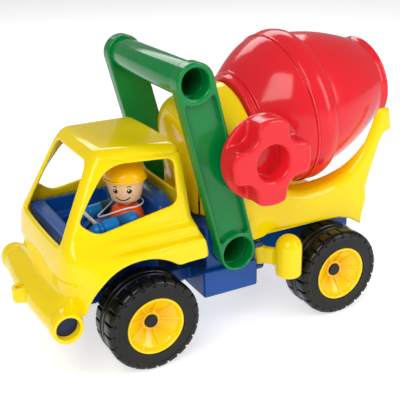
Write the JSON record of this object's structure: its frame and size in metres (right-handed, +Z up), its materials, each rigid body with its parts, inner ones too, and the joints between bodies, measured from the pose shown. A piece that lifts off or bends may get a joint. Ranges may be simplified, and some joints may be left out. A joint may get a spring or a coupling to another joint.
{
  "type": "toy cement mixer",
  "caption": "Toy mixer truck with a rounded cab, driver figure, carrying frame, hand knob that turns a tilted drum through gears, swinging outriggers and rolling wheels.",
  "frame": {"origin": "on the ground, midway between the two axles on the centre plane", "axes": "+Z up, the truck faces -X, its left side is -Y"},
  "size_m": [0.2916, 0.1509, 0.2044],
  "materials": {
    "yellow_plastic": "gloss",
    "blue_plastic": "gloss",
    "dark_blue_plastic": "gloss",
    "green_plastic": "gloss",
    "red_plastic": "gloss",
    "white_plastic": "gloss",
    "orange_plastic": "satin",
    "light_blue_plastic": "satin",
    "skin_plastic": "satin",
    "helmet_plastic": "gloss",
    "rim_plastic": "gloss",
    "tyre_plastic": "satin",
    "black_plastic": "gloss",
    "steel": "satin"
  },
  "bodies": {
    "chassis": {"chassis": "blue_plastic", "cab_shell": "yellow_plastic", "bumper": "yellow_plastic", "bumper_plugs": "dark_blue_plastic", "cab_interior": "blue_plastic", "steering_column": "blue_plastic", "driver_torso": "orange_plastic", "driver_legs": "light_blue_plastic", "cradle": "yellow_plastic", "gear_housing": "yellow_plastic", "bearing_plate": "yellow_plastic", "outrigger_pins": "steel", "cradle_screws": "steel", "cab_screws": "steel", "bumper_screws": "steel"},
    "front_axle_set": {"front_axle": "steel", "rim_front_left": "rim_plastic", "rim_front_right": "rim_plastic", "tyre_front_left": "tyre_plastic", "tyre_front_right": "tyre_plastic", "front_axle_caps": "black_plastic"},
    "rear_axle_set": {"rear_axle": "steel", "rim_rear_left": "rim_plastic", "rim_rear_right": "rim_plastic", "tyre_rear_left": "tyre_plastic", "tyre_rear_right": "tyre_plastic", "rear_axle_caps": "black_plastic"},
    "carrying_frame": {"frame_arm_left": "green_plastic", "frame_arm_right": "green_plastic", "grip_tube": "green_plastic", "pivot_tube": "green_plastic"},
    "drum_set": {"drum_front": "red_plastic", "drum_rear": "red_plastic", "crown_gear": "white_plastic", "drum_shaft": "steel"},
    "knob_set": {"knob": "red_plastic", "knob_shaft": "white_plastic", "pinion": "white_plastic"},
    "driver_head_set": {"driver_head": "skin_plastic", "driver_helmet": "helmet_plastic"},
    "driver_left_arm": {"driver_arm_left": "light_blue_plastic"},
    "driver_right_arm": {"driver_arm_right": "light_blue_plastic"},
    "steering_wheel": {"steering_wheel": "white_plastic"},
    "outrigger_left_leg": {"outrigger_left": "yellow_plastic"},
    "outrigger_right_leg": {"outrigger_right": "yellow_plastic"}
  },
  "joints": [
    {"name": "front_axle_spin", "type": "hinge", "parent": "chassis", "child": "front_axle_set", "pos_m": [-0.075, 0, 0.033], "axis": [0, 1, 0], "continuous": true},
    {"name": "rear_axle_spin", "type": "hinge", "parent": "chassis", "child": "rear_axle_set", "pos_m": [0.075, 0, 0.033], "axis": [0, 1, 0], "continuous": true},
    {"name": "drum_spin", "type": "hinge", "parent": "chassis", "child": "drum_set", "pos_m": [0.0567, 0, 0.1461], "axis": [0.9857, 0, 0.1685], "continuous": true},
    {"name": "knob_spin", "type": "hinge", "parent": "chassis", "child": "knob_set", "pos_m": [0.00347, 0, 0.137], "axis": [0, 1, 0], "continuous": true},
    {"name": "frame_swing", "type": "hinge", "parent": "chassis", "child": "carrying_frame", "pos_m": [-0.0098, 0, 0.069], "axis": [0, 1, 0], "range_deg": [0, 8]},
    {"name": "steering_turn", "type": "hinge", "parent": "chassis", "child": "steering_wheel", "pos_m": [-0.0983, -0.02, 0.0972], "axis": [0.7986, 0, 0.6018], "continuous": true},
    {"name": "head_turn", "type": "hinge", "parent": "chassis", "child": "driver_head_set", "pos_m": [-0.0735, -0.02, 0.0955], "axis": [0, 0, 1], "continuous": true},
    {"name": "left_arm_lift", "type": "hinge", "parent": "chassis", "child": "driver_left_arm", "pos_m": [-0.076, -0.0342, 0.099], "axis": [0, 1, 0], "range_deg": [-10, 40]},
    {"name": "right_arm_lift", "type": "hinge", "parent": "chassis", "child": "driver_right_arm", "pos_m": [-0.076, -0.0058, 0.099], "axis": [0, 1, 0], "range_deg": [-10, 40]},
    {"name": "left_outrigger_fold", "type": "hinge", "parent": "chassis", "child": "outrigger_left_leg", "pos_m": [0.0165, -0.042, 0.055], "axis": [0, 0, -1], "range_deg": [0, 50]},
    {"name": "right_outrigger_fold", "type": "hinge", "parent": "chassis", "child": "outrigger_right_leg", "pos_m": [0.0165, 0.042, 0.055], "axis": [0, 0, 1], "range_deg": [0, 50]}
  ],
  "couplings": [
    {"joint": "knob_spin", "follows": "drum_spin", "ratio": 3}
  ]
}
